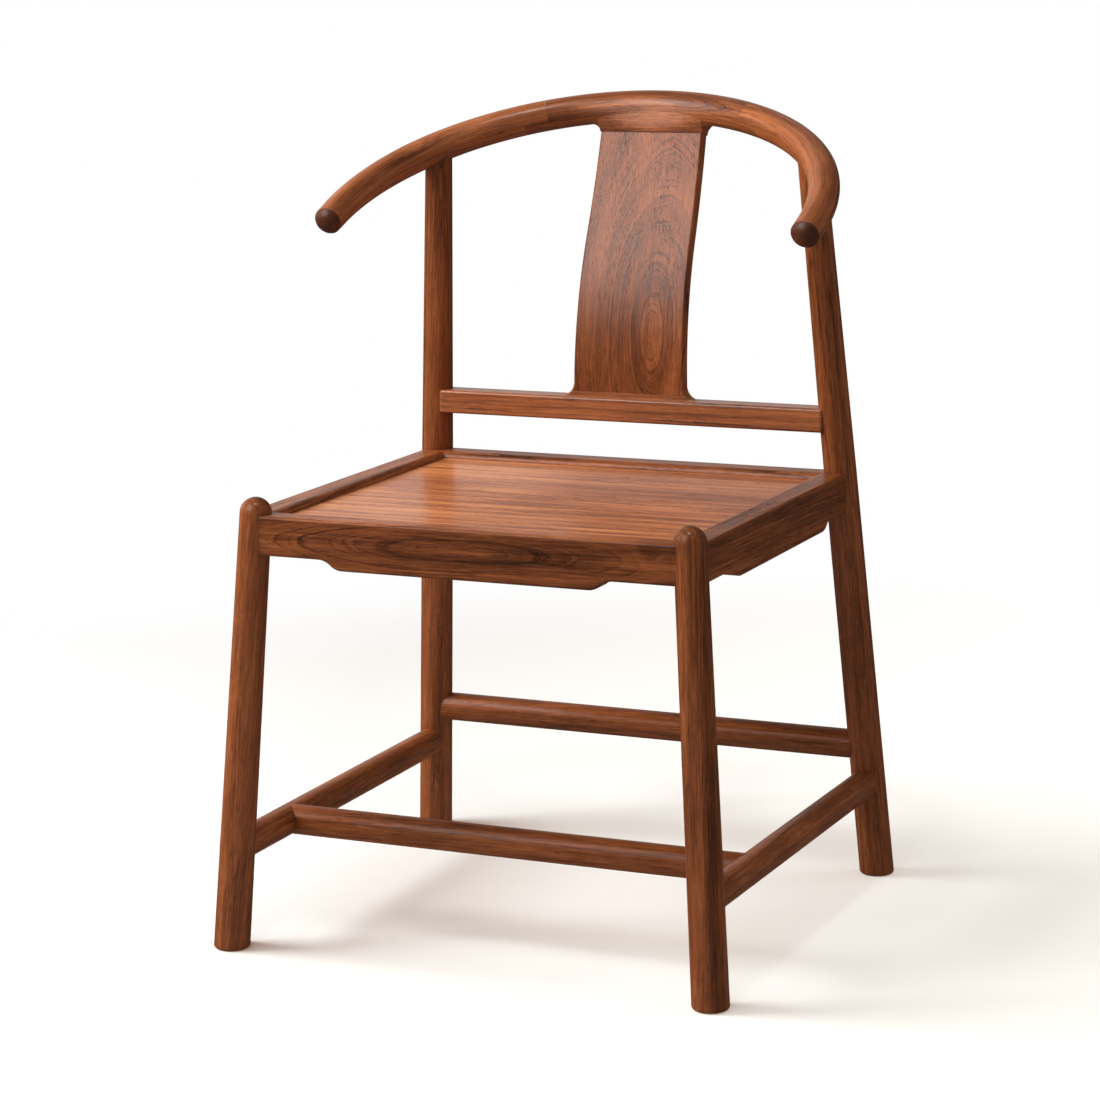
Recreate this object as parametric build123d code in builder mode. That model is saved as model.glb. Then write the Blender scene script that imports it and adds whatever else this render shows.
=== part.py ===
from build123d import *

import os
from math import acos, asin, cos, degrees, radians, sin

os.makedirs("parts", exist_ok=True)

# Horseshoe back armchair, millimetres, +Z up, the sitter faces -Y.
# The origin is on the floor, in the middle of the chair's width and depth.
# Left and right are those of someone who stands in front of the chair.
# Pieces are drawn on the right (+X) and mirrored to the left.

# ---- overall ----
overall_depth = 548.0        # front of the front feet to the back of the bow
seat_height = 440.0          # top of the seat frame
glue_gap = 0.15              # all round a seated joint

# ---- turned legs and posts ----
front_foot_inside = 3.0      # of the bow's centre line, seen from above
front_foot_radius = 18.3
front_leg_rise = 16.2        # above the seat frame
front_leg_top_inside = 32.4
front_leg_lean = 28.5        # the top stands this far behind the foot
front_leg_top_radius = 16.0
rear_foot_outside = 1.6      # of the bow's centre line, seen from above
rear_foot_tuck = 53.2        # rear feet in front of the bow's back
rear_foot_radius = 18.2
rear_seat_radius = 17.0      # post at the seat
rear_top_radius = 14.3       # post under the bow
foot_round = 3.5             # softened edge on the floor

# ---- horseshoe bow: a tilted half circle with short straight ends ----
bow_radius = 261.0           # centre line
bow_rake = 22.0              # degrees, rising to the back
bow_rise = 272.0             # centre of the half circle above the seat frame
bow_bar_radius = 16.4
bow_tip_radius = 14.8
bow_tip_length = 18.0        # straight end of the centre line
bow_taper_angle = 62.0       # round the bow from its back, where the arms start to thin
bow_end_angle = 90.0         # round the bow from its back to the straight ends
bow_tip_dome = 9.0
post_angle = 53.6            # round the bow from its back to a post
post_tenon_radius = 9.0
post_tenon_rise = 5.0        # past the centre line of the bow

# ---- scarf joints of the bow ----
scarf_near = 120.0           # along the bow from its back to the joint's near end
scarf_far = 148.0            # and to its far end
scarf_nose = 4.0             # tongue on the end of each lap
scarf_nose_width = 12.0
scarf_nose_height = 4.0
scarf_nose_level = 5.5       # from the lap's face to the tongue's middle
scarf_overcut = 1.0          # degrees past a lap's shoulder, to clear it
scarf_pin_size = 7.0
scarf_pin_taper = 1.2        # narrower at its blind end
scarf_pin_head = 0.5         # below the bar's surface
scarf_pin_reach = 5.0        # past the centre line, towards the sitter

# ---- seat frame ----
front_rail_inset = 14.2      # front face behind the front feet's centres
back_rail_tuck = 81.7        # back face in front of the bow's back
side_rail_inside = 18.0      # outer face inside the bow's centre line
rail_width = 30.0
rail_height = 39.8           # at the ends
apron_drop = 10.0            # the middle hangs lower by this
apron_ogee = 26.0            # length of each curve between the two levels
front_apron_margin = 100.0   # from a corner of the frame to the middle of the curve
side_apron_front = 102.5
side_apron_back = 75.3
rail_edge_round = 3.0
rail_tenon_width = 10.0
rail_tenon_height = 22.0
rail_tenon_shoulder = 9.0    # below the top of the rail
rail_tenon_bite = 5.5        # of the side rails' tenons into the posts, behind the frame
panel_recess = 7.0
rail_inner_round = 8.0       # of the edge over the panel

# ---- seat panel and battens ----
panel_thickness = 13.0
panel_tongue = 7.0           # length into the groove
panel_tongue_thickness = 6.0
panel_tongue_drop = 3.0      # below the top of the panel
panel_gap = 0.4              # room for the wood to move
batten_offset = 95.0
batten_width = 26.0
batten_height = 20.0
batten_tenon_length = 9.0
batten_tenon_width = 16.0
batten_tenon_height = 11.0
dovetail_depth = 4.0
dovetail_flare = 1.5

# ---- back: lower rail and splat ----
lower_rail_gap = 42.0        # above the seat frame
lower_rail_height = 25.2
lower_rail_depth = 27.8
lower_rail_tuck = 108.8      # front face in front of the bow's back
lower_rail_short = 9.0       # square ends short of the posts' axes
lower_rail_tenon_height = 15.0
lower_rail_tenon_width = 9.0
pad_height = 5.5             # raised seat for the splat
pad_cove = 15.0              # radius of the hollow from the rail up into each edge of the splat
splat_thickness = 13.7
splat_tuck = 94.9            # middle of its foot in front of the bow's back
splat_bottom_width = 126.0
splat_top_width = 117.0
splat_foot = 2.0             # upright stretch above the pad
splat_sweep_radius = 405.0
splat_sweep_angle = 23.3     # degrees, leaning back
splat_edge_round = 2.5
tongue_thickness = 7.0
tongue_length = 8.0
tongue_shoulder = 9.0

# ---- saddle of the crest rail over the splat ----
saddle_drop = 28.7           # joint with the splat below the middle of the bow's bar
saddle_inset = 7.1           # and in front of it
saddle_flare = 19.0          # each end runs out into the bar over this length
saddle_thickness = 16.5
saddle_sink = 0.4            # of its front face into the round bar
saddle_end_sink = 0.2        # of its two ends

# ---- stretchers ----
stretcher_height = 31.0
stretcher_depth = 27.6
side_stretcher_level = 103.0
back_stretcher_level = 142.8
front_stretcher_set = 117.0
stretcher_tenon_radius = 8.0
stretcher_tenon_short = 4.5  # of the axis of the leg it enters

# ---- worked out from the above ----
back_y = overall_depth / 2
front_foot_x = bow_radius - front_foot_inside
front_foot_y = front_foot_radius - back_y
rear_foot_x = bow_radius + rear_foot_outside
rear_foot_y = back_y - rear_foot_tuck
rake_cos = cos(radians(bow_rake))
bow_centre = Vector(0, back_y - bow_bar_radius - bow_radius * rake_cos, seat_height + bow_rise)
bow_normal = Vector(0, -sin(radians(bow_rake)), rake_cos)
bow_plane = Plane(bow_centre, x_dir=(1, 0, 0), z_dir=bow_normal)
bow_axis = Axis(bow_centre, -bow_normal)
scarf_start = degrees(scarf_near / bow_radius)
scarf_end = degrees(scarf_far / bow_radius)
scarf_slack = degrees(glue_gap / bow_radius)
rail_bottom = seat_height - rail_height
frame_front = front_foot_y + front_rail_inset
frame_back = back_y - back_rail_tuck
front_rail_back = frame_front + rail_width
back_rail_front = frame_back - rail_width
side_rail_outer_x = bow_radius - side_rail_inside
side_rail_inner_x = side_rail_outer_x - rail_width
front_apron_half = side_rail_outer_x - front_apron_margin
side_apron_half = (frame_back - side_apron_back - frame_front - side_apron_front) / 2
side_apron_y = frame_front + side_apron_front + side_apron_half
panel_y = (back_rail_front + front_rail_back) / 2
panel_half_width = side_rail_inner_x - panel_gap
panel_half_depth = (back_rail_front - front_rail_back) / 2 - panel_gap
tenon_level = seat_height - rail_tenon_shoulder - rail_tenon_height / 2
panel_top = seat_height - panel_recess
panel_bottom = panel_top - panel_thickness
tongue_level = panel_top - panel_tongue_drop - panel_tongue_thickness / 2
batten_top = panel_bottom + dovetail_depth
batten_bottom = batten_top - batten_height
batten_tenon_level = (panel_bottom + batten_bottom) / 2
lower_rail_y = back_y - lower_rail_tuck + lower_rail_depth / 2
lower_rail_level = seat_height + lower_rail_gap + lower_rail_height / 2
lower_rail_top = lower_rail_level + lower_rail_height / 2
pad_top = lower_rail_top + pad_height
cove_top = lower_rail_top + pad_cove
splat_y = back_y - splat_tuck
front_stretcher_y = front_foot_y + front_stretcher_set


def on_bow(angle, out=0.0):
    """A point of the bow, by degrees round it from its back towards the right."""
    reach = bow_radius + out
    return bow_plane.from_local_coords(Vector(reach * sin(radians(angle)), reach * cos(radians(angle)), 0))


def bow_section(angle, out=0.0):
    """The plane across the bow: x outwards, y along its normal, z onwards round it."""
    outward = (on_bow(angle, 1) - on_bow(angle)).normalized()
    return Plane(on_bow(angle, out), x_dir=outward, z_dir=outward.cross(bow_normal))


def at_height(foot, top, height):
    """The point of a leg's axis at a height."""
    return foot + (top - foot) * ((height - foot.Z) / (top.Z - foot.Z))


front_foot = Vector(front_foot_x, front_foot_y, 0)
front_top = Vector(bow_radius - front_leg_top_inside, front_foot_y + front_leg_lean,
                   seat_height + front_leg_rise)
rear_foot = Vector(rear_foot_x, rear_foot_y, 0)
rear_top = on_bow(post_angle)
front_seat = at_height(front_foot, front_top, tenon_level)
rear_seat = at_height(rear_foot, rear_top, tenon_level)
rear_lower = at_height(rear_foot, rear_top, lower_rail_level)
rear_stretch = at_height(rear_foot, rear_top, back_stretcher_level)
side_stretch_front = at_height(front_foot, front_top, side_stretcher_level)
side_stretch_rear = at_height(rear_foot, rear_top, side_stretcher_level)
front_stretch = side_stretch_front + (side_stretch_rear - side_stretch_front) * (
    (front_stretcher_y - side_stretch_front.Y) / (side_stretch_rear.Y - side_stretch_front.Y))
lower_rail_half = rear_lower.X - lower_rail_short
saddle_joint = Vector(on_bow(0).Y - saddle_inset, on_bow(0).Z - saddle_drop)
saddle_half = splat_top_width / 2

# the splat's curve from its foot to the saddle, in Y and Z
with BuildLine() as splat_curve:
    foot = Line((splat_y, pad_top), (splat_y, pad_top + splat_foot))
    lean = JernArc(start=foot @ 1, tangent=foot % 1, radius=splat_sweep_radius, arc_size=-splat_sweep_angle)
    rest = TangentArc(lean @ 1, saddle_joint, tangent=lean % 1)
splat_end = rest % 1
saddle_plane = Plane((0, saddle_joint.X, saddle_joint.Y), z_dir=(0, splat_end.X, splat_end.Y))
post_neck = rear_top - (rear_top - rear_foot).normalized() * 2 * bow_bar_radius
both_sides = (1, -1)


def opposite(point):
    """The same point on the other side of the chair."""
    return Vector(-point.X, point.Y, point.Z)


def on_side(piece, side):
    """A right-hand piece as it is, or mirrored to the left for side -1."""
    return piece if side > 0 else mirror(piece, about=Plane.YZ, mode=Mode.PRIVATE)


def leaning_plane(foot, top):
    """A plane through a leg's axis: x across it, y along it from the foot."""
    along = (top - foot).normalized()
    across = Vector(0, 1, 0).cross(along).normalized()
    return Plane(foot, x_dir=across, z_dir=across.cross(along))


def front_leg_bar(extra=0.0):
    """The turned front leg without joints, grown by extra all round."""
    shoulder = (front_top - front_foot).length - front_leg_top_radius
    with BuildPart() as bar:
        with BuildSketch(leaning_plane(front_foot, front_top)):
            with BuildLine():
                side = Polyline((0, -front_foot_radius), (front_foot_radius + extra, -front_foot_radius),
                                (front_foot_radius + extra, 0), (front_leg_top_radius + extra, shoulder))
                dome = CenterArc((0, shoulder), front_leg_top_radius + extra, 0, 90)
                Line(dome @ 1, side @ 0)
            make_face()
        revolve(axis=Axis(front_foot, front_top - front_foot))
        split(bisect_by=Plane.XY, keep=Keep.TOP)
    return bar.part


def rear_post_bar(extra=0.0):
    """The turned rear leg and post up to the bow's centre line, grown by extra all round."""
    length = (rear_top - rear_foot).length
    with BuildPart() as bar:
        with BuildSketch(leaning_plane(rear_foot, rear_top)):
            Polygon((0, -rear_foot_radius), (rear_foot_radius + extra, -rear_foot_radius),
                    (rear_foot_radius + extra, 0),
                    (rear_seat_radius + extra, length * seat_height / rear_top.Z),
                    (rear_top_radius + extra, length), (0, length), align=None)
        revolve(axis=Axis(rear_foot, rear_top - rear_foot))
        split(bisect_by=Plane.XY, keep=Keep.TOP)
    return bar.part


def arm_bar(extra=0.0):
    """One arm of the bow, from its scarf to the straight tip, grown by extra all round."""
    start = scarf_start + scarf_slack
    tip = bow_section(bow_end_angle)
    with BuildPart() as bar:
        with BuildSketch(bow_section(start)):
            Circle(bow_bar_radius + extra)
        revolve(axis=bow_axis, revolution_arc=bow_taper_angle - start)
        with BuildLine():
            bend = ThreePointArc(on_bow(bow_taper_angle), on_bow((bow_taper_angle + bow_end_angle) / 2),
                                 on_bow(bow_end_angle))
            Line(bend @ 1, (bend @ 1) + tip.z_dir * bow_tip_length)
        with BuildSketch(bow_section(bow_taper_angle)):
            Circle(bow_bar_radius + extra)
        with BuildSketch(tip.offset(bow_tip_length)):
            Circle(bow_tip_radius + extra)
        sweep(multisection=True)
    return bar.part


def peg(start, end, radius, length):
    """A round bar from start towards end."""
    with BuildPart() as bar:
        with BuildSketch(Plane(start, z_dir=end - start)):
            Circle(radius)
        extrude(amount=length)
    return bar.part


def stretcher_peg(start, end, extra=0.0):
    """The round tenon of a stretcher whose axis runs from a leg's axis at start."""
    along = (end - start).normalized()
    short = stretcher_tenon_short - extra
    return peg(start + along * short, end, stretcher_tenon_radius + extra, rear_foot_radius + stretcher_depth)


def oval_bar(start, end, extra=0.0):
    """An oval stretcher between two points, grown by extra all round."""
    along = end - start
    with BuildPart() as bar:
        with BuildSketch(Plane(start, x_dir=along.cross(Vector(0, 0, 1)), z_dir=along)):
            SlotOverall(stretcher_height + 2 * extra, stretcher_depth + 2 * extra, rotation=90)
        extrude(amount=along.length)
    return bar.part


def frame_block(extra=0.0):
    """The outside of the seat frame without its aprons, grown by extra all round."""
    with BuildPart() as block:
        with BuildSketch(Plane.XY.offset(rail_bottom - extra)):
            with Locations((0, (frame_front + frame_back) / 2)):
                Rectangle(2 * (side_rail_outer_x + extra), frame_back - frame_front + 2 * extra)
        extrude(amount=rail_height + 2 * extra)
        fillet(block.edges(), rail_edge_round + extra)
    return block.part


def rail_tenon(plane, start, end, extra=0.0):
    """The tenon along the heart of a seat rail; plane is the rail's inner face."""
    heart = plane.offset((rail_width - rail_tenon_width) / 2 - extra)
    with BuildPart() as bar:
        with BuildSketch(heart):
            with Locations(((start + end) / 2, tenon_level)):
                Rectangle(end - start + 2 * extra, rail_tenon_height + 2 * extra)
        extrude(amount=rail_tenon_width + 2 * extra)
    return bar.part


def apron_rail(plane, start, end, middle, half):
    """A seat rail with its apron; plane is its inner face, x along it and y up."""
    low = rail_bottom - apron_drop
    halfway = rail_bottom - apron_drop / 2
    with BuildPart() as rail:
        with BuildSketch(plane):
            with BuildLine():
                level = Line((end, rail_bottom), (middle + half + apron_ogee / 2, rail_bottom))
                down = TangentArc(level @ 1, (middle + half, halfway), tangent=level % 1)
                settle = TangentArc(down @ 1, (middle + half - apron_ogee / 2, low), tangent=down % 1)
                hang = Line(settle @ 1, (middle - half + apron_ogee / 2, low))
                lift = TangentArc(hang @ 1, (middle - half, halfway), tangent=hang % 1)
                rise = TangentArc(lift @ 1, (middle - half - apron_ogee / 2, rail_bottom), tangent=lift % 1)
                Polyline(rise @ 1, (start, rail_bottom), (start, seat_height), (end, seat_height),
                         (end, rail_bottom))
            make_face()
        extrude(amount=rail_width)
        outward = Axis(plane.origin, plane.z_dir)
        onward = Axis(plane.origin, plane.x_dir)
        outer = rail.faces().sort_by(outward)[-1]
        across = rail.edges().filter_by(outward).group_by(onward)
        fillet(outer.edges() + across[0] + across[-1], rail_edge_round)
        top = rail.faces().sort_by(Axis.Z)[-1]
        fillet(top.edges().filter_by(onward).sort_by(outward)[0], rail_inner_round)
        with BuildSketch(plane):
            with Locations(((start + end) / 2, tongue_level)):
                Rectangle(end - start, panel_tongue_thickness + 2 * panel_gap)
        extrude(amount=panel_tongue + panel_gap, mode=Mode.SUBTRACT)
    return rail.part


def batten_profile(extra=0.0):
    """Section of a batten in X and Z, with its sliding dovetail on top."""
    neck = batten_width / 2 - dovetail_flare + extra
    head = batten_width / 2 + extra
    with BuildSketch(Plane.XZ.offset(-back_rail_front)) as profile:
        Polygon((batten_offset - neck, batten_bottom), (batten_offset + neck, batten_bottom),
                (batten_offset + neck, panel_bottom), (batten_offset + head, batten_top + extra),
                (batten_offset - head, batten_top + extra), (batten_offset - neck, panel_bottom), align=None)
    return profile.sketch


def batten_groove():
    """The dovetail groove for the right-hand batten, right through the panel."""
    with BuildPart() as groove:
        extrude(batten_profile(glue_gap), amount=overall_depth, both=True)
    return groove.part


def batten_tenon(extra=0.0):
    """The tenons of a batten, one bar from rail to rail."""
    length = back_rail_front - front_rail_back + 2 * batten_tenon_length + 2 * extra
    with BuildPart() as bar:
        with Locations((batten_offset, (front_rail_back + back_rail_front) / 2, batten_tenon_level)):
            Box(batten_tenon_width + 2 * extra, length, batten_tenon_height + 2 * extra)
    return bar.part


def lower_rail_bar(extra=0.0):
    """The lower back rail without pad and tenons, its square ends let into the posts."""
    with BuildPart() as bar:
        with Locations((0, lower_rail_y, lower_rail_level)):
            Box(2 * (lower_rail_half + extra), lower_rail_depth + 2 * extra, lower_rail_height + 2 * extra)
        fillet(bar.edges(), rail_edge_round + extra)
    return bar.part


def lower_rail_tenon(extra=0.0):
    """The tenons of the lower back rail, one bar from post to post."""
    with BuildPart() as bar:
        with Locations((0, lower_rail_y, lower_rail_level)):
            Box(2 * (rear_lower.X + extra), lower_rail_tenon_width + 2 * extra,
                lower_rail_tenon_height + 2 * extra)
    return bar.part


def foot_outline(plane):
    """The splat's foot from the front: a hollow at each side, down to the middle of the rail."""
    half = splat_bottom_width / 2
    with BuildSketch(plane) as outline:
        with BuildLine():
            cove = CenterArc((half + pad_cove, cove_top), pad_cove, 270, -90)
            Polyline(cove @ 1, (0, cove_top), (0, lower_rail_level), (half + pad_cove, lower_rail_level),
                     cove @ 0)
        make_face()
        mirror(about=Plane.YZ)
    return outline.sketch


def splat_slab(thickness, past, shoulder=0.0):
    """A slab along the splat's curve, past its two joints, narrower by shoulder each side."""
    reach = 2 * tongue_length
    with BuildPart() as slab:
        with BuildSketch(Plane.YZ):
            with BuildLine():
                add(splat_curve.line)
                Line((splat_y, pad_top - reach), (splat_y, pad_top))
                Line(saddle_joint, saddle_joint + splat_end * reach)
            trace(line_width=thickness)
        extrude(amount=splat_bottom_width, both=True)
        split(bisect_by=Plane.XY.offset(pad_top - past), keep=Keep.TOP)
        split(bisect_by=saddle_plane.offset(past), keep=Keep.BOTTOM)
        taper = (splat_bottom_width - splat_top_width) / 2 / (saddle_joint.Y - cove_top)
        low_half = splat_bottom_width / 2 - shoulder + taper * reach
        high_half = splat_top_width / 2 - shoulder - taper * reach
        low = cove_top - reach
        high = saddle_joint.Y + reach
        with BuildSketch(Plane.XZ):
            Polygon((-low_half, low), (low_half, low), (high_half, high), (-high_half, high), align=None)
            if not shoulder:
                add(foot_outline(Plane.XZ))
        extrude(amount=overall_depth, both=True, mode=Mode.INTERSECT)
    return slab.part


def splat_tongue(extra=0.0):
    """The splat's tongues, one slab from pocket to pocket."""
    return splat_slab(tongue_thickness + 2 * extra, tongue_length + extra, tongue_shoulder - extra)


def splat_pad():
    """The raised seat on the lower rail, as thick as the splat, where the two hollows run out."""
    with BuildPart() as pad:
        extrude(foot_outline(Plane.XZ.offset(-splat_y)), amount=splat_thickness / 2, both=True)
        fillet(pad.edges().filter_by(GeomType.CIRCLE), splat_edge_round)
        split(bisect_by=Plane.XY.offset(pad_top), keep=Keep.BOTTOM)
    return pad.part


def scarf_pin_bar(extra=0.0):
    """The tapered square pin of the right scarf, from the outside of the bow to its blind end."""
    middle = bow_section((scarf_start + scarf_end) / 2)
    with BuildPart() as bar:
        for out, size in ((bow_bar_radius - scarf_pin_head + 2 * extra, scarf_pin_size),
                          (-scarf_pin_reach - extra, scarf_pin_size - scarf_pin_taper)):
            centre = middle.origin + middle.x_dir * out
            with BuildSketch(Plane(centre, x_dir=middle.z_dir, z_dir=middle.x_dir)):
                Rectangle(size + 2 * extra, size + 2 * extra)
        loft()
    return bar.part


def scarf_sector(side, level, depth, inner, outer):
    """Half of the bow's depth between two angles, as a cutter; depth is up or down from level."""
    reach = 2 * bow_bar_radius
    corners = []
    for angle, out in ((inner, -reach), (inner, reach), (outer, reach), (outer, -reach)):
        spot = bow_plane.to_local_coords(on_bow(side * angle, out))
        corners.append((spot.X, spot.Y))
    with BuildPart() as cutter:
        with BuildSketch(bow_plane.offset(level)):
            Polygon(*corners, align=None)
        extrude(amount=depth)
    return cutter.part


def nose_block(angle, level, length, extra=0.0):
    """A small tongue across the bow at an angle, standing out by length."""
    with BuildPart() as block:
        with BuildSketch(bow_section(angle)):
            with Locations((0, level)):
                Rectangle(scarf_nose_width + 2 * extra, scarf_nose_height + 2 * extra)
        extrude(amount=length)
    return block.part


def saddle_section(x, runout=0.0):
    """A saddle section across the chair at x; runout goes from 0, its full depth, to 1, inside the bar."""
    centre = on_bow(degrees(asin(x / bow_radius)))
    middle = Vector(centre.Y, centre.Z)
    radius = bow_bar_radius - saddle_sink
    corners = []
    for back in (-saddle_thickness / 2, saddle_thickness / 2):
        corner = saddle_joint + Vector(splat_end.Y, -splat_end.X) * back
        depth = ((bow_bar_radius - saddle_end_sink) ** 2 - (corner.X - middle.X) ** 2) ** 0.5
        corners.append(corner + Vector(0, middle.Y - depth - corner.Y) * runout)
    foot = corners[0] - middle
    touch = foot.normalized().rotate(Axis.Z, -degrees(acos(radius / foot.length))) * radius
    with BuildSketch(Plane.YZ.offset(x)) as section:
        Polygon(corners[0], corners[1], middle + Vector(bow_bar_radius / 4, 0), middle + touch, align=None)
    return section.sketch


def saddle_block():
    """The saddle under the crest: full depth over the splat, its ends running out into the bar."""
    with BuildPart() as block:
        loft([saddle_section(x) for x in (-saddle_half, -saddle_half / 2, 0, saddle_half / 2, saddle_half)])
        for side in both_sides:
            ends = []
            for share in (0, 0.1, 0.35, 0.65, 1):
                runout = (1 - (1 - share) ** 2) ** 0.5
                ends.append(saddle_section(side * (saddle_half + saddle_flare * share), runout))
            loft(ends)
    return block.part


def save(piece, name):
    piece.part.label = name
    export_step(piece.part, f"parts/{name}.step")


def save_pair(piece, name):
    save(piece, name + "_right")
    with BuildPart() as other:
        mirror(piece.part, about=Plane.YZ)
    save(other, name + "_left")


front_plane = Plane((0, front_rail_back, 0), x_dir=(1, 0, 0), z_dir=(0, -1, 0))
side_plane = Plane((side_rail_inner_x, 0, 0), x_dir=(0, 1, 0), z_dir=(1, 0, 0))
back_plane = Plane((0, back_rail_front, 0), x_dir=(-1, 0, 0), z_dir=(0, 1, 0))


def corner_tenon(extra=0.0):
    """The right rail's rear tenon: through the end of the back rail and into the post."""
    return rail_tenon(side_plane, side_apron_y, frame_back + rail_tenon_bite, extra)


# ---- front legs ----
with BuildPart() as front_leg:
    add(front_leg_bar())
    fillet(front_leg.edges().group_by(Axis.Z)[0], foot_round)
    add(rail_tenon(front_plane, -front_seat.X, front_seat.X, glue_gap), mode=Mode.SUBTRACT)
    add(rail_tenon(side_plane, front_seat.Y, rear_seat.Y, glue_gap), mode=Mode.SUBTRACT)
    add(stretcher_peg(side_stretch_front, side_stretch_rear, glue_gap), mode=Mode.SUBTRACT)
save_pair(front_leg, "front_leg")

# ---- rear posts ----
with BuildPart() as rear_post:
    add(rear_post_bar())
    fillet(rear_post.edges().group_by(Axis.Z)[0], foot_round)
    add(arm_bar(glue_gap), mode=Mode.SUBTRACT)
    add(frame_block(glue_gap), mode=Mode.SUBTRACT)
    add(corner_tenon(glue_gap), mode=Mode.SUBTRACT)
    add(lower_rail_bar(glue_gap), mode=Mode.SUBTRACT)
    add(lower_rail_tenon(glue_gap), mode=Mode.SUBTRACT)
    add(stretcher_peg(side_stretch_rear, side_stretch_front, glue_gap), mode=Mode.SUBTRACT)
    add(stretcher_peg(rear_stretch, opposite(rear_stretch), glue_gap), mode=Mode.SUBTRACT)
    add(peg(post_neck, rear_top, post_tenon_radius, 2 * bow_bar_radius + post_tenon_rise))
save_pair(rear_post, "rear_post")

# ---- seat frame: front rail, back rail and side rails ----
with BuildPart() as front_rail:
    add(apron_rail(front_plane, -front_seat.X, front_seat.X, 0, front_apron_half))
    for side in both_sides:
        add(on_side(front_leg_bar(glue_gap), side), mode=Mode.SUBTRACT)
    add(rail_tenon(front_plane, -front_seat.X, front_seat.X))
    for side in both_sides:
        mitre = Plane((side * side_rail_inner_x, front_rail_back, 0), z_dir=(side, 1, 0))
        split(bisect_by=mitre.offset(-glue_gap / 2), keep=Keep.BOTTOM)
        add(on_side(batten_tenon(glue_gap), side), mode=Mode.SUBTRACT)
save(front_rail, "front_rail")

with BuildPart() as back_rail:
    add(apron_rail(back_plane, -side_rail_outer_x, side_rail_outer_x, 0, front_apron_half))
    for side in both_sides:
        add(on_side(corner_tenon(glue_gap), side), mode=Mode.SUBTRACT)
        mitre = Plane((side * side_rail_inner_x, back_rail_front, 0), z_dir=(side, -1, 0))
        split(bisect_by=mitre.offset(-glue_gap / 2), keep=Keep.BOTTOM)
        add(on_side(batten_tenon(glue_gap), side), mode=Mode.SUBTRACT)
save(back_rail, "back_rail")

with BuildPart() as side_rail:
    add(apron_rail(side_plane, front_seat.Y, frame_back, side_apron_y, side_apron_half))
    add(front_leg_bar(glue_gap), mode=Mode.SUBTRACT)
    add(rail_tenon(side_plane, front_seat.Y, side_apron_y))
    for corner_y, turn in ((front_rail_back, 1), (back_rail_front, -1)):
        mitre = Plane((side_rail_inner_x, corner_y, 0), z_dir=(1, turn, 0))
        split(bisect_by=mitre.offset(glue_gap / 2), keep=Keep.TOP)
    add(corner_tenon())
save_pair(side_rail, "side_rail")

# ---- seat panel and its battens ----
with BuildPart() as seat_panel:
    with BuildSketch(Plane.XY.offset(panel_bottom)):
        with Locations((0, panel_y)):
            Rectangle(2 * panel_half_width, 2 * panel_half_depth)
    extrude(amount=panel_thickness)
    with BuildSketch(Plane.XY.offset(tongue_level - panel_tongue_thickness / 2)):
        with Locations((0, panel_y)):
            Rectangle(2 * (panel_half_width + panel_tongue), 2 * (panel_half_depth + panel_tongue))
    extrude(amount=panel_tongue_thickness)
    for side in both_sides:
        add(on_side(front_leg_bar(panel_gap), side), mode=Mode.SUBTRACT)
        add(on_side(rear_post_bar(panel_gap), side), mode=Mode.SUBTRACT)
        add(on_side(batten_groove(), side), mode=Mode.SUBTRACT)
save(seat_panel, "seat_panel")

with BuildPart() as seat_batten:
    extrude(batten_profile(), amount=back_rail_front - front_rail_back)
    with BuildSketch(Plane.YZ):
        with Locations((panel_y, (batten_top + batten_bottom) / 2)):
            Rectangle(2 * panel_half_depth, 2 * batten_height)
    extrude(amount=side_rail_inner_x, mode=Mode.INTERSECT)
    add(batten_tenon())
save_pair(seat_batten, "seat_batten")

# ---- stretchers ----
with BuildPart() as side_stretcher:
    add(oval_bar(side_stretch_front, side_stretch_rear))
    add(front_leg_bar(glue_gap), mode=Mode.SUBTRACT)
    add(rear_post_bar(glue_gap), mode=Mode.SUBTRACT)
    add(stretcher_peg(side_stretch_front, side_stretch_rear))
    add(stretcher_peg(side_stretch_rear, side_stretch_front))
    add(stretcher_peg(front_stretch, opposite(front_stretch), glue_gap), mode=Mode.SUBTRACT)
save_pair(side_stretcher, "side_stretcher")

with BuildPart() as front_stretcher:
    add(oval_bar(front_stretch, opposite(front_stretch)))
    for side in both_sides:
        add(on_side(oval_bar(side_stretch_front, side_stretch_rear, glue_gap), side), mode=Mode.SUBTRACT)
    add(stretcher_peg(front_stretch, opposite(front_stretch)))
    add(stretcher_peg(opposite(front_stretch), front_stretch))
save(front_stretcher, "front_stretcher")

with BuildPart() as back_stretcher:
    add(oval_bar(rear_stretch, opposite(rear_stretch)))
    for side in both_sides:
        add(on_side(rear_post_bar(glue_gap), side), mode=Mode.SUBTRACT)
    add(stretcher_peg(rear_stretch, opposite(rear_stretch)))
    add(stretcher_peg(opposite(rear_stretch), rear_stretch))
save(back_stretcher, "back_stretcher")

# ---- lower back rail with the raised pad that carries the splat ----
with BuildPart() as lower_back_rail:
    add(lower_rail_bar())
    add(splat_pad())
    add(lower_rail_tenon())
    add(splat_tongue(glue_gap), mode=Mode.SUBTRACT)
save(lower_back_rail, "lower_back_rail")

# ---- back splat ----
with BuildPart() as back_splat:
    add(splat_slab(splat_thickness, -glue_gap))
    ends = back_splat.faces().sort_by(Axis.Z)
    end_edges = ends[0].edges() + ends[-1].edges()
    across = end_edges + back_splat.edges().filter_by(Axis.Y) + back_splat.edges().filter_by(Axis.X)
    fillet([edge for edge in back_splat.edges() if edge not in across], splat_edge_round)
    add(splat_tongue())
save(back_splat, "back_splat")

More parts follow.
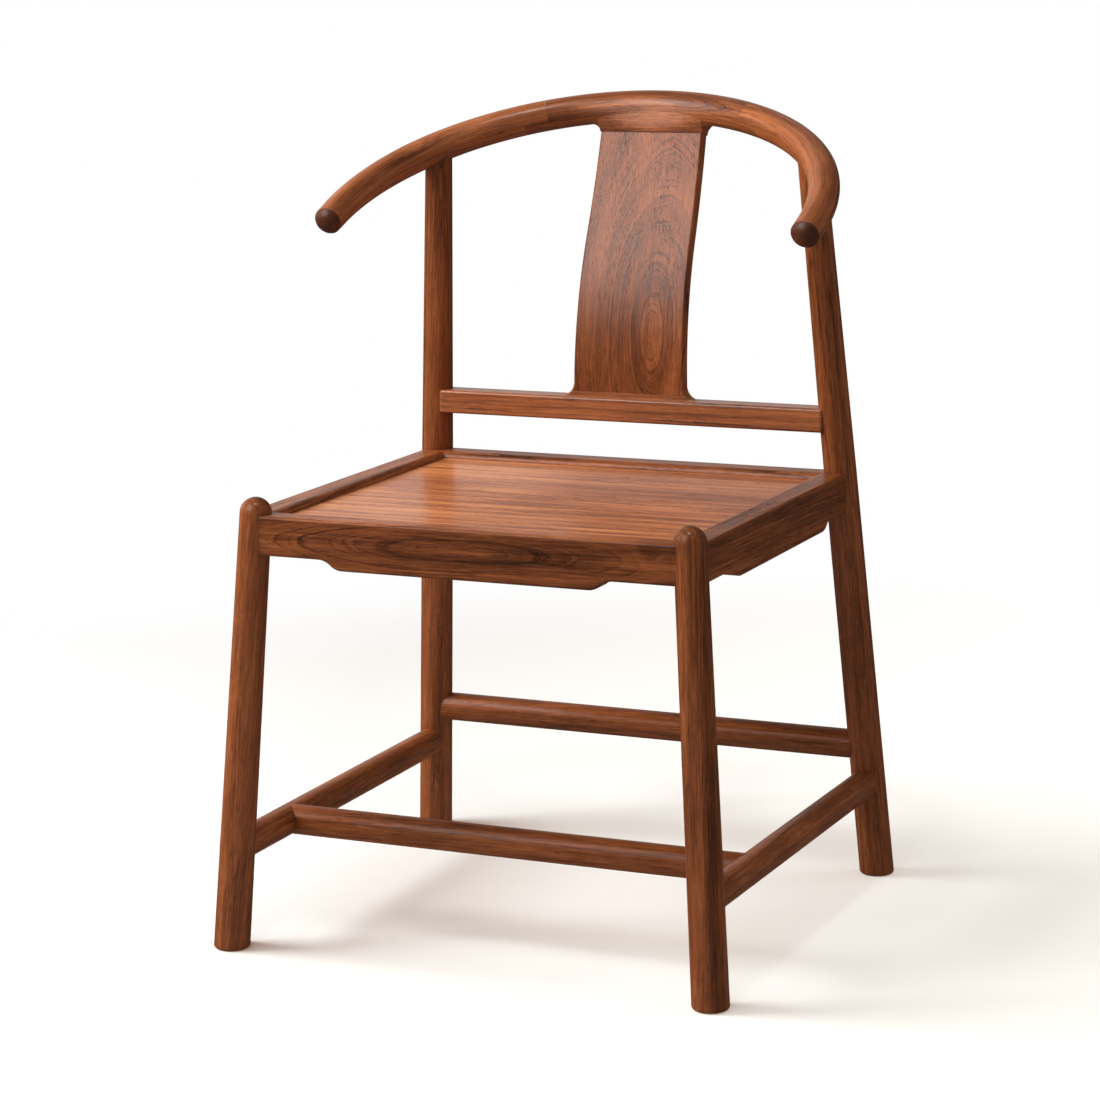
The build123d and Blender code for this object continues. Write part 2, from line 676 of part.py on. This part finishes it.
# ---- crest rail: the middle of the bow, with the saddle over the splat ----
with BuildPart() as crest_rail:
    with BuildSketch(bow_section(-scarf_end + scarf_slack)):
        Circle(bow_bar_radius)
    revolve(axis=bow_axis, revolution_arc=2 * (scarf_end - scarf_slack))
    add(saddle_block())
    add(splat_tongue(glue_gap), mode=Mode.SUBTRACT)
    for side in both_sides:
        add(scarf_sector(side, -glue_gap / 2, 2 * bow_bar_radius, scarf_start, scarf_end + scarf_overcut),
            mode=Mode.SUBTRACT)
        add(on_side(nose_block(scarf_start, scarf_nose_level, -scarf_nose - 2 * glue_gap, glue_gap), side),
            mode=Mode.SUBTRACT)
        add(on_side(nose_block(scarf_end - scarf_slack, -scarf_nose_level, scarf_nose + glue_gap), side))
        add(on_side(scarf_pin_bar(glue_gap), side), mode=Mode.SUBTRACT)
save(crest_rail, "crest_rail")

# ---- arms of the bow ----
with BuildPart() as arm:
    add(arm_bar())
    tip = bow_section(bow_end_angle).offset(bow_tip_length)
    with BuildSketch(Plane(tip.origin, x_dir=tip.x_dir, z_dir=-tip.y_dir)):
        with BuildLine():
            ball = (bow_tip_radius ** 2 + bow_tip_dome ** 2) / (2 * bow_tip_dome)
            cap = RadiusArc((bow_tip_radius, 0), (0, bow_tip_dome), -ball)
            Polyline(cap @ 1, (0, 0), cap @ 0)
        make_face()
    revolve(axis=Axis(tip.origin, tip.z_dir))
    add(scarf_sector(1, glue_gap / 2, -2 * bow_bar_radius, scarf_start - scarf_overcut, scarf_end),
        mode=Mode.SUBTRACT)
    add(nose_block(scarf_start + scarf_slack, scarf_nose_level, -scarf_nose - glue_gap))
    add(nose_block(scarf_end, -scarf_nose_level, scarf_nose + 2 * glue_gap, glue_gap), mode=Mode.SUBTRACT)
    add(scarf_pin_bar(glue_gap), mode=Mode.SUBTRACT)
    add(peg(post_neck, rear_top, post_tenon_radius + glue_gap,
            2 * bow_bar_radius + post_tenon_rise + glue_gap), mode=Mode.SUBTRACT)
save_pair(arm, "arm")

# ---- pins of the scarf joints ----
with BuildPart() as scarf_pin:
    add(scarf_pin_bar())
save_pair(scarf_pin, "scarf_pin")
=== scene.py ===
from math import radians

import bpy
from mathutils import Matrix, Vector


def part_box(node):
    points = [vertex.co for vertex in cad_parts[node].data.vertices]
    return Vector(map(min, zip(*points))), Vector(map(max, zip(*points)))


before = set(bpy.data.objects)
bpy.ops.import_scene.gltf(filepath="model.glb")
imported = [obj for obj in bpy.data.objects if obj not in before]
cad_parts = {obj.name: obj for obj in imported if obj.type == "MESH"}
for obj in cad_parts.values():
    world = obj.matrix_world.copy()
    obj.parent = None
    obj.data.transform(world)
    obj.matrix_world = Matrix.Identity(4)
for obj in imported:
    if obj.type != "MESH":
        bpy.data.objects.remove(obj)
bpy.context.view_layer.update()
print("chair loaded:", len(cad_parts), "pieces")


camera = dict(
    place=(1.34617, -3.02226, 1.03029),
    turn=24.26,  # degrees round the chair, towards its right arm
    height=11.19,  # degrees above level
    roll=-0.91,
    lens=108.12,
    sensor=36.0,
)


def addCamera(values):
    data = bpy.data.cameras.new("mainCamera")
    data.lens = values["lens"]
    data.sensor_width = values["sensor"]
    data.clip_end = 50
    eye = bpy.data.objects.new("mainCamera", data)
    turned = Matrix.Rotation(radians(values["turn"]), 4, "Z")
    raised = Matrix.Rotation(radians(90 - values["height"]), 4, "X")
    rolled = Matrix.Rotation(radians(values["roll"]), 4, "Z")
    eye.matrix_world = Matrix.Translation(values["place"]) @ turned @ raised @ rolled
    bpy.context.scene.collection.objects.link(eye)
    bpy.context.scene.camera = eye


addCamera(camera)
print("camera placed")


class Wire:  # a shader socket that can be used in sums; node() adds any node but Math
    def __init__(self, tree, socket=None):
        self.tree = tree
        self.socket = socket

    def node(self, kind, settings=None, values=None, output=0):
        made = self.tree.nodes.new("ShaderNode" + kind)
        for key, value in (settings or {}).items():
            if key == "stops":
                fillRamp(made.color_ramp, value)
            else:
                setattr(made, key, value)
        for key, value in (values or {}).items():
            if isinstance(value, Wire):
                self.tree.links.new(value.socket, made.inputs[key])
            else:
                made.inputs[key].default_value = value
        return Wire(self.tree, made.outputs[output] if made.outputs else None)

    def math(self, operation, *others):
        return self.node("Math", {"operation": operation}, dict(enumerate(others)))

    def __add__(self, other):
        return self.math("ADD", self, other)

    def __sub__(self, other):
        return self.math("SUBTRACT", self, other)

    def __rsub__(self, other):
        return self.math("SUBTRACT", other, self)

    def __mul__(self, other):
        return self.math("MULTIPLY", self, other)

    def __truediv__(self, other):
        return self.math("DIVIDE", self, other)

    def __pow__(self, other):
        return self.math("POWER", self, other)

    __radd__ = __add__
    __rmul__ = __mul__

    def floor(self):
        return self.math("FLOOR", self)

    def ramp(self, low, high):  # 0 below low, 1 above high, smooth between
        return self.node("MapRange", {"interpolation_type": "SMOOTHSTEP"},
                         {"Value": self, "From Min": low, "From Max": high})


def fillRamp(ramp, stops):
    while len(ramp.elements) < len(stops):
        ramp.elements.new(0.5)
    for element, (place, colour) in zip(ramp.elements, stops):
        element.position = place
        element.color = colour


def paint(red, green, blue):  # a colour as seen on screen, in shader numbers
    return tuple(((c / 255 + 0.055) / 1.055) ** 2.4 for c in (red, green, blue)) + (1.0,)


walnut = dict(
    tones=((0.00, paint(48, 22, 8)), (0.25, paint(88, 45, 20)), (0.50, paint(130, 70, 35)),
           (0.75, paint(167, 97, 54)), (1.00, paint(204, 130, 79))),
    pore=paint(50, 23, 10),
    poreShare=0.5,
    endGrain=paint(58, 30, 18),
    endGrainShare=0.6,
    endGrainFacing=(0.80, 0.97),
    capShare=0.88,
    capRim=0.0008,
    knotShare=0.7,
    knotSoft=0.4,  # of its dark heart, from here out
    gloss=1.5,  # index of refraction
    oilRoughness=0.20,  # of the thin film over the wood
    bump=0.25,
    bumpDepth=0.0004,
    bumpFibres=0.5,
    bumpLines=0.4,
    roughPores=0.22,
    roughFibres=0.16,
)

plainCut = dict(  # what a cut has where it says nothing else
    flame=0.010,  # jagged tops where the rings turn over
    banding=0.42,
    streaks=0.5,
    fibres=0.8,
    lines=0.42,
    hairs=0.20,
    roughness=0.36,
    shine=0.30,
    oil=0.16,
    knots=(),
    tonePatches=(),
)

grain = dict(  # scales run along the fibres, across them and through the board
    seedStep=(1.7, 0.9, 0.4),
    swayScale=(3.2, 11.0, 11.0),
    rippleScale=(9.0, 75.0, 75.0),
    rippleAcross=0.0016,
    jitterScale=(60.0, 420.0, 420.0),
    jitter=0.35,
    fadeScale=(9.0, 34.0, 34.0),
    fadeRamp=(0.34, 0.62),
    lateSharpness=9.0,
    lateSlope=0.22,
    lateLeast=0.1,
    fadeLeast=0.25,
    bandsPerRing=0.3,
    bandSeed=3.1,
    hairsPerRing=3.4,
    hairSeed=1.3,
    hairRamp=(0.50, 0.72),
    fibreScale=(26.0, 620.0, 620.0),
    streakScale=(5.0, 190.0, 190.0),
    cloudScale=(5.0, 16.0, 16.0),
    clouds=0.3,
    poreScale=(85.0, 1150.0, 1150.0),
    poreRamp=(0.58, 0.68),
    poreLeast=0.45,
    boardStart=0.37,
    boardShift=(0.8, 0.05, 0.05),
    boardTone=0.10,
    patchRamp=(0.6, 1.1),
)


bow = dict(centre=(0, 0.0156, 0.712), rake=22.0, radius=0.261)


def axesFrom(along, face):  # grain axes: x along the fibres, z out of the board's face
    x = Vector(along).normalized()
    y = Vector(face).cross(x).normalized()
    z = x.cross(y)
    return Matrix((x, y, z)).transposed()


def grow(name, cut, nodes):
    cut = {**plainCut, **cut}
    material = bpy.data.materials.new(name)
    material.use_nodes = True
    tree = material.node_tree
    tree.nodes.clear()
    w = Wire(tree)
    place = w.node("TexCoord", output="Object")
    if "along" in cut:
        axes = axesFrom(cut["along"], cut["face"])
        spot = w.node("Mapping", {"vector_type": "TEXTURE"},
                      {"Vector": place, "Location": Vector(cut["pith"]), "Rotation": axes.to_euler()})
    else:  # the fibres follow the bow: x round it from its back, y outwards, z up through it
        spot = w.node("Mapping", {"vector_type": "TEXTURE"},
                      {"Vector": place, "Location": bow["centre"], "Rotation": (radians(bow["rake"]), 0, 0)})
        right, back, up = (w.node("SeparateXYZ", {}, {0: spot}, n) for n in range(3))
        round_ = right.math("ARCTAN2", right, back) * bow["radius"]
        out = (right * right + back * back) ** 0.5 - bow["radius"]
        spot = w.node("CombineXYZ", {}, {0: round_, 1: out, 2: up})
        spot = w.node("VectorMath", {"operation": "SUBTRACT"}, {0: spot, 1: cut["pith"]})

    def scaled(vector, *factors):
        return w.node("VectorMath", {"operation": "MULTIPLY"}, {0: vector, 1: factors})

    def shifted(vector, other):
        return w.node("VectorMath", {"operation": "ADD"}, {0: vector, 1: other})

    def centred(vector):
        return w.node("VectorMath", {"operation": "SUBTRACT"}, {0: vector, 1: (0.5, 0.5, 0.5)})

    def mix(share, first, second):
        return w.node("Mix", {"data_type": "RGBA"}, {"Factor": share, 6: first, 7: second}, 2)

    def noise(vector, detail=2.0, rough=0.5, output=0):
        return w.node("TexNoise", {}, {"Vector": vector, "Scale": 1.0, "Detail": detail,
                                       "Roughness": rough}, output)

    def ringNoise(step, detail, rough):
        return w.node("TexNoise", {"noise_dimensions": "1D"},
                      {"W": step, "Scale": 1.0, "Detail": detail, "Roughness": rough})

    def atLeast(least, share):
        return least + (1 - least) * share

    seed = cut["seed"]
    if "boards" in cut:  # edge-glued boards, each with its own grain
        across = w.node("SeparateXYZ", {}, {0: place}, 1)
        board = (across / cut["boards"] + grain["boardStart"]).floor()
        lot = w.node("TexWhiteNoise", {"noise_dimensions": "1D"}, {"W": board + seed}, 1)
        spot = shifted(spot, scaled(centred(lot), *grain["boardShift"]))
        boardTone = w.node("SeparateXYZ", {}, {0: lot}, 0)
    seeded = shifted(spot, tuple(seed * step for step in grain["seedStep"]))
    sway = scaled(centred(noise(scaled(seeded, *grain["swayScale"]), 2.0, 0.5, 1)),
                  cut["sway"] * 2, cut["sway"], cut["sway"])
    ripple = scaled(centred(noise(scaled(seeded, *grain["rippleScale"]), 3.0, 0.6, 1)),
                    cut["flame"], grain["rippleAcross"], grain["rippleAcross"])
    bent = scaled(shifted(shifted(spot, sway), ripple), cut["stretch"], 1.0, 1.0)
    reach = w.node("VectorMath", {"operation": "LENGTH"}, {0: bent}, 1)
    rings = reach / cut["ring"]
    for knot in cut["knots"]:
        away = w.node("VectorMath", {"operation": "DISTANCE"}, {0: place, 1: knot["at"]}, 1)
        lift = 1.0 - away.ramp(0.0, knot["size"])
        rings = rings + lift * lift * knot["lift"]
    rings = rings + noise(scaled(seeded, *grain["jitterScale"]), 3.0, 0.6) * grain["jitter"]

    ringStep = rings.floor()
    within = rings - ringStep
    ringLot = w.node("TexWhiteNoise", {"noise_dimensions": "1D"}, {"W": ringStep + seed})
    fade = noise(scaled(seeded, *grain["fadeScale"]), 2.0, 0.5).ramp(*grain["fadeRamp"])
    lateWood = within ** grain["lateSharpness"] + grain["lateSlope"] * within
    lateWood = lateWood * atLeast(grain["lateLeast"], ringLot) * atLeast(grain["fadeLeast"], fade)
    bands = ringNoise(rings * grain["bandsPerRing"] + seed * grain["bandSeed"], 3.0, 0.62)
    hairlines = ringNoise(rings * grain["hairsPerRing"] + seed * grain["hairSeed"], 2.0, 0.7)
    fibre = noise(scaled(seeded, *grain["fibreScale"]), 4.0, 0.7)
    streak = noise(scaled(seeded, *grain["streakScale"]), 4.0, 0.62)
    cloud = noise(scaled(seeded, *grain["cloudScale"]), 2.0, 0.5)
    pores = noise(scaled(seeded, *grain["poreScale"]), 1.0, 0.5).ramp(*grain["poreRamp"])
    pores = pores * atLeast(grain["poreLeast"], fade)

    tone = cut["tone"] + (bands - 0.5) * cut["banding"] + (streak - 0.5) * cut["streaks"]
    tone = tone + (fibre - 0.5) * cut["fibres"] + (cloud - 0.5) * grain["clouds"]
    tone = tone - lateWood * cut["lines"]
    tone = tone - hairlines.ramp(*grain["hairRamp"]) * fade * cut["hairs"]
    if "boards" in cut:
        tone = tone + (boardTone - 0.5) * grain["boardTone"]
    oil = cut["oil"]
    surface = w.node("NewGeometry", output="Normal")
    for spread in cut["tonePatches"]:  # patches that raise or lower the tone and may add oil; most paint light or shade onto the wood
        near = w.node("Mapping", {"vector_type": "TEXTURE"},
                      {"Vector": place, "Location": spread["at"], "Scale": spread["size"]})
        near = w.node("VectorMath", {"operation": "LENGTH"}, {0: near}, 1)
        near = 1.0 - near.ramp(*grain["patchRamp"])
        tone = tone + near * spread["lift"]
        if "oil" in spread:
            oil = near * spread["oil"] + oil
        if "flat" in spread:  # only shaded as if it were planed this way
            planed = w.node("VectorMath", {"operation": "SCALE"}, {0: spread["flat"], "Scale": near})
            surface = w.node("VectorMath", {"operation": "NORMALIZE"}, {0: shifted(surface, planed)})
    colour = w.node("ValToRGB", {"stops": walnut["tones"]}, {"Fac": tone})
    colour = mix(pores * walnut["poreShare"], colour, walnut["pore"])
    for knot in cut["knots"]:
        if "heart" in knot:
            away = w.node("VectorMath", {"operation": "DISTANCE"}, {0: place, 1: knot["at"]}, 1)
            heart = 1.0 - away.ramp(knot["heart"] * walnut["knotSoft"], knot["heart"])
            colour = mix(heart * walnut["knotShare"], colour, walnut["pore"])

    if "along" in cut:
        normal = w.node("NewGeometry", output="Normal")
        facing = w.node("VectorMath", {"operation": "DOT_PRODUCT"}, {0: normal, 1: axes.col[0]}, 1)
        facing = facing.math("ABSOLUTE", facing).ramp(*walnut["endGrainFacing"])
        colour = mix(facing * walnut["endGrainShare"], colour, walnut["endGrain"])
    if "cap" in cut:  # the sawn end of an arm, dark and with a crisp rim
        past = w.node("VectorMath", {"operation": "SUBTRACT"}, {0: place, 1: cut["cap"]["at"]})
        past = w.node("VectorMath", {"operation": "DOT_PRODUCT"}, {0: past, 1: cut["cap"]["axis"]}, 1)
        colour = mix(past.ramp(0.0, walnut["capRim"]) * walnut["capShare"], colour, walnut["endGrain"])

    height = fibre * walnut["bumpFibres"] - pores - lateWood * walnut["bumpLines"]
    bump = w.node("Bump", {}, {"Strength": walnut["bump"], "Distance": walnut["bumpDepth"],
                               "Height": height, "Normal": surface})
    rough = cut["roughness"] + pores * walnut["roughPores"] + (fibre - 0.5) * walnut["roughFibres"]
    finish = w.node("BsdfPrincipled", {}, {"Base Color": colour, "Roughness": rough, "Normal": bump,
                                           "IOR": walnut["gloss"], "Specular IOR Level": cut["shine"],
                                           "Coat Weight": oil, "Coat Roughness": walnut["oilRoughness"]})
    w.node("OutputMaterial", {}, {"Surface": finish})
    for node in nodes:
        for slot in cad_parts[node].material_slots:
            slot.material = material


def middle(node):
    low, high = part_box(node)
    return (low + high) / 2


def legLine(node):  # the way a leg runs, from the middles of its two ends
    points = [v.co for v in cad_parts[node].data.vertices]
    low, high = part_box(node)
    foot = [p for p in points if p.z < low.z + 0.004]
    top = [p for p in points if p.z > high.z - 0.004]
    return sum(top, Vector()) / len(top) - sum(foot, Vector()) / len(foot)


legKnots = dict(
    front_leg_left=[dict(at=(-0.241, -0.258, 0.281), size=0.020, lift=2.6, heart=0.0022)],
    front_leg_right=[dict(at=(0.261, -0.270, 0.095), size=0.010, lift=1.6, heart=0.0016)],
    rear_post_left=[dict(at=(-0.244, 0.215, 0.556), size=0.024, lift=2.2)],
    rear_post_right=[],
)
legTones = (0.48, 0.42, 0.46, 0.46)
# painted shade on the right side of the left rear post
legPaintedShade = dict(rear_post_left=[dict(at=(-0.232, 0.20, 0.60), size=(0.035, 0.05, 0.15), lift=-0.10)])
for number, node in enumerate(legKnots):
    line = legLine(node)
    start = middle(node) + Vector(((-1) ** number * 0.03, -0.045, 0.02 * number))
    grow("walnut_" + node, dict(
        along=line + Vector((0.012, 0.02 - 0.013 * number, 0)), face=(0, -1, 0), pith=start, stretch=0.012,
        ring=0.0042, sway=0.007, tone=legTones[number], seed=2.3 + number, lines=0.26, shine=0.20,
        knots=legKnots[node], tonePatches=legPaintedShade.get(node, ())), [node])

for number, node in enumerate(("side_stretcher_left", "side_stretcher_right", "front_stretcher",
                               "back_stretcher")):
    low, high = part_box(node)
    along = (0.02, high.y - low.y, 0.01) if "side" in node else (1, 0.015, 0.01)
    grow("walnut_" + node, dict(
        along=along, face=(0, 0, 1), pith=middle(node) + Vector((0.02, 0.012, -0.05)), stretch=0.02,
        ring=0.0045, sway=0.008, tone=(0.56, 0.51, 0.45, 0.45)[number], seed=8.1 + number, lines=0.3,
        shine=(0.20, 0.24, 0.20, 0.28)[number], oil=(0.16, 0.16, 0.06, 0.16)[number]), [node])

grow("walnut_crest_rail", dict(
    pith=(-0.075, -0.018, 0.020), stretch=0.10, ring=0.0042, sway=0.012, tone=0.52, seed=21.0, shine=0.38,
    # painted sheen: the face over the splat is made paler, with more oil and a shading normal as if planed
    tonePatches=[dict(at=(0, 0.200, 0.803), size=(0.095, 0.060, 0.028), lift=0.14, oil=0.5,
               flat=(0, -0.96, 0.72))]),
    ["crest_rail", "scarf_pin_left", "scarf_pin_right"])
grow("walnut_arm_left", dict(
    pith=(-0.33, 0.006, -0.019), stretch=0.045, ring=0.0040, sway=0.018, tone=0.55, seed=31.0,
    # painted highlight on the top of the left arm near its post
    tonePatches=[dict(at=(-0.21, 0.14, 0.795), size=(0.07, 0.10, 0.03), lift=0.16)],
    cap=dict(at=(-0.261, -0.0011, 0.7053), axis=(0, -0.927, -0.375))), ["arm_left"])
grow("walnut_arm_right", dict(
    pith=(0.31, -0.012, -0.018), stretch=0.045, ring=0.0040, sway=0.018, tone=0.62, seed=35.0,
    cap=dict(at=(0.261, -0.0011, 0.7053), axis=(0, -0.927, -0.375))), ["arm_right"])

grow("walnut_back_splat", dict(
    along=(0, 0.20, 0.98), face=(0, -1, 0.2), pith=(0.026, 0.178, 0.580), stretch=0.30, ring=0.0048,
    sway=0.016, tone=0.47, seed=41.0, flame=0.014, shine=0.34, roughness=0.30, hairs=0.24, lines=0.38,
    fibres=0.55,
    tonePatches=[dict(at=(0.045, 0.185, 0.535), size=(0.035, 0.05, 0.085), lift=0.12)],
    knots=[dict(at=(0.040, 0.195, 0.680), size=0.026, lift=2.4)]), ["back_splat"])
grow("walnut_lower_back_rail", dict(
    along=(1, 0.01, 0.006), face=(0, -1, 0), pith=(0.05, 0.20, 0.47), stretch=0.03, ring=0.0036,
    sway=0.008, tone=0.61, seed=44.0, lines=0.6, shine=0.5, oil=0.5), ["lower_back_rail"])
grow("walnut_front_rail", dict(
    along=(1, 0, 0.01), face=(0, -1, 0), pith=(0.0, -0.236, 0.420), stretch=0.13, ring=0.0034,
    sway=0.016, tone=0.36, seed=51.0, flame=0.030, shine=0.16,
    # painted light: the top face is lifted paler than the front face, as lit from above
    tonePatches=[dict(at=(0, -0.235, 0.4458), size=(0.70, 0.10, 0.0075), lift=0.34)],
    knots=[dict(at=(0.192, -0.2415, 0.432), size=0.03, lift=2.0)]), ["front_rail"])
grow("walnut_back_rail", dict(
    along=(1, 0.01, 0), face=(0, 1, 0), pith=(0.04, 0.21, 0.36), stretch=0.1, ring=0.0042, sway=0.008,
    tone=0.52, seed=54.0), ["back_rail"])
grow("walnut_side_rail_left", dict(
    along=(0, 1, 0.012), face=(-1, 0, 0), pith=(-0.25, 0.02, 0.36), stretch=0.08, ring=0.0042,
    sway=0.009, tone=0.62, seed=57.0), ["side_rail_left"])
grow("walnut_side_rail_right", dict(
    along=(0, 1, -0.02), face=(1, 0, 0), pith=(0.26, -0.05, 0.37), stretch=0.08, ring=0.0042,
    sway=0.009, tone=0.42, seed=58.0, shine=0.2), ["side_rail_right"])
grow("walnut_seat_panel", dict(
    along=(1, 0.006, 0.002), face=(0, -1, 0), pith=(0, -0.02, 0.62), stretch=0.01, ring=0.0032,
    sway=0.012, tone=0.72, seed=61.0, boards=0.082, banding=0.8, streaks=1.1, lines=0.3,
    roughness=0.34, shine=0.18,
    # painted light: the left side of the seat is made paler, with more oil
    tonePatches=[dict(at=(-0.21, -0.02, 0.433), size=(0.20, 0.45, 0.10), lift=0.16, oil=0.2)]), ["seat_panel"])
grow("walnut_seat_battens", dict(
    along=(0, 1, 0.01), face=(0, 0, -1), pith=(0.05, 0, 0.3), stretch=0.02, ring=0.004, sway=0.008,
    tone=0.44, seed=66.0), ["seat_batten_left", "seat_batten_right"])
print("walnut cut and laid on every piece")


floorPlan = dict(
    size=400.0,
    bounce=0.62,  # what the chair gets back from the floor
    mirroredNear=0.06,  # what its sheen shows of the floor under it, and further off
    mirroredFar=0.03,
    shade=(0.62, 0.665, 0.66, 1),
    liftNear=(0.14, 0.040, 0.0, 1),  # glow at the lamp's side, and where its light has fallen off
    liftFar=(0.690, 0.640, 0.570, 1),
    lampWay=(0.94, 0.33, 0),
    nearEdge=-0.35,
    farEdge=1.0,
    middle=(0.15, 0.1, 0),
    clearFrom=0.95,
    clearTo=1.7,  # pure white from here on
)


def layFloor(values):
    half = values["size"] / 2
    mesh = bpy.data.meshes.new("studioFloor")
    mesh.from_pydata([(-half, -half, 0), (half, -half, 0), (half, half, 0), (-half, half, 0)], [],
                     [(0, 1, 2, 3)])
    floor = bpy.data.objects.new("studioFloor", mesh)
    floor.location.z = -0.0002
    bpy.context.scene.collection.objects.link(floor)
    material = bpy.data.materials.new("palePaper")
    material.use_nodes = True
    material.node_tree.nodes.clear()
    w = Wire(material.node_tree)
    bounce = values["bounce"]
    plain = w.node("BsdfDiffuse", {}, {"Color": (bounce, bounce, bounce, 1)})
    paper = w.node("BsdfDiffuse", {}, {"Color": values["shade"]})
    flat = w.node("TexCoord", output="Object")
    past = w.node("VectorMath", {"operation": "DOT_PRODUCT"}, {0: flat, 1: values["lampWay"]}, 1)
    past = (past - values["nearEdge"]) / (values["farEdge"] - values["nearEdge"])
    lift = w.node("Mix", {"data_type": "RGBA"}, {"Factor": past, 6: values["liftNear"],
                                                 7: values["liftFar"]}, 2)
    glow = w.node("Emission", {}, {"Color": lift, "Strength": 1.0})
    near = w.node("AddShader", {}, {0: paper, 1: glow})
    white = w.node("Emission", {}, {"Color": (1, 1, 1, 1), "Strength": 1.0})
    away = w.node("VectorMath", {"operation": "DISTANCE"},
                  {0: flat, 1: values["middle"]}, 1)
    clear = away.ramp(values["clearFrom"], values["clearTo"])
    shown = w.node("MixShader", {}, {0: clear, 1: near, 2: white})
    seen = w.node("LightPath", output="Is Camera Ray")
    glossy = w.node("LightPath", output="Is Glossy Ray")
    sheenNear = w.node("Emission", {}, {"Color": (1, 1, 1, 1), "Strength": values["mirroredNear"]})
    sheenFar = w.node("Emission", {}, {"Color": (1, 1, 1, 1), "Strength": values["mirroredFar"]})
    sheen = w.node("MixShader", {}, {0: clear, 1: sheenNear, 2: sheenFar})
    unseen = w.node("MixShader", {}, {0: glossy, 1: plain, 2: sheen})
    mixed = w.node("MixShader", {}, {0: seen, 1: unseen, 2: shown})
    w.node("OutputMaterial", {}, {"Surface": mixed})
    mesh.materials.append(material)


layFloor(floorPlan)

lamps = (
    dict(name="keySoftbox", place=(-2.15, -0.75, 1.70), aim=(0, 0, 0.45), size=1.3, power=104,
         sheen=False),  # left out of the sheen
    dict(name="frontSoftbox", place=(-1.9, -2.4, 2.9), aim=(0, 0, 0.5), size=2.2, power=42),
    dict(name="farFill", place=(2.1, 1.4, 1.0), aim=(0, 0, 0.4), size=1.2, power=11,
         sheen=False),
    dict(name="topLamp", place=(0.1, -0.9, 3.4), aim=(0, 0, 0.4), size=0.32, power=18),
)


def hangLamp(values):
    data = bpy.data.lights.new(values["name"], "AREA")
    data.size = values["size"]
    data.energy = values["power"]
    lamp = bpy.data.objects.new(values["name"], data)
    lamp.location = values["place"]
    lamp.visible_glossy = values.get("sheen", True)
    aim = Vector(values["aim"]) - lamp.location
    lamp.rotation_euler = aim.to_track_quat("-Z", "Y").to_euler()
    bpy.context.scene.collection.objects.link(lamp)


for lamp in lamps:
    hangLamp(lamp)

sky = dict(
    ambient=0.34,
    white=1.0,
    mirrored=0.56,  # what the sheen shows of the air behind the chair and left of it
    dim=0.03,  # and of the rest
    towards=(-0.935, 0.354, 0.0),
    towardsRamp=(0.30, 0.75),
    panel=3.0,  # a white panel in front and to the left, seen in the sheen alone
    panelTowards=(-0.343, -0.766, 0.545),
    panelRamp=(0.90, 0.97),
)


def spanSky(values):
    world = bpy.data.worlds.new("studioAir")
    bpy.context.scene.world = world
    world.use_nodes = True
    world.node_tree.nodes.clear()
    w = Wire(world.node_tree)
    seen = w.node("LightPath", output="Is Camera Ray")
    glossy = w.node("LightPath", output="Is Glossy Ray")
    ambient = w.node("Background", {}, {"Color": (1, 1, 1, 1), "Strength": values["ambient"]})
    bright = w.node("Background", {}, {"Color": (1, 1, 1, 1), "Strength": values["mirrored"]})
    dim = w.node("Background", {}, {"Color": (1, 1, 1, 1), "Strength": values["dim"]})
    way = w.node("TexCoord", output="Generated")
    side = w.node("VectorMath", {"operation": "DOT_PRODUCT"}, {0: way, 1: values["towards"]}, 1)
    mirrored = w.node("MixShader", {}, {0: side.ramp(*values["towardsRamp"]), 1: dim, 2: bright})
    panel = w.node("Background", {}, {"Color": (1, 1, 1, 1), "Strength": values["panel"]})
    front = w.node("VectorMath", {"operation": "DOT_PRODUCT"}, {0: way, 1: values["panelTowards"]}, 1)
    mirrored = w.node("MixShader", {}, {0: front.ramp(*values["panelRamp"]), 1: mirrored, 2: panel})
    white = w.node("Background", {}, {"Color": (1, 1, 1, 1), "Strength": values["white"]})
    lit = w.node("MixShader", {}, {0: glossy, 1: ambient, 2: mirrored})
    mixed = w.node("MixShader", {}, {0: seen, 1: lit, 2: white})
    w.node("OutputWorld", {}, {"Surface": mixed})


spanSky(sky)
bpy.context.scene.view_settings.view_transform = "Standard"
print("studio lit")
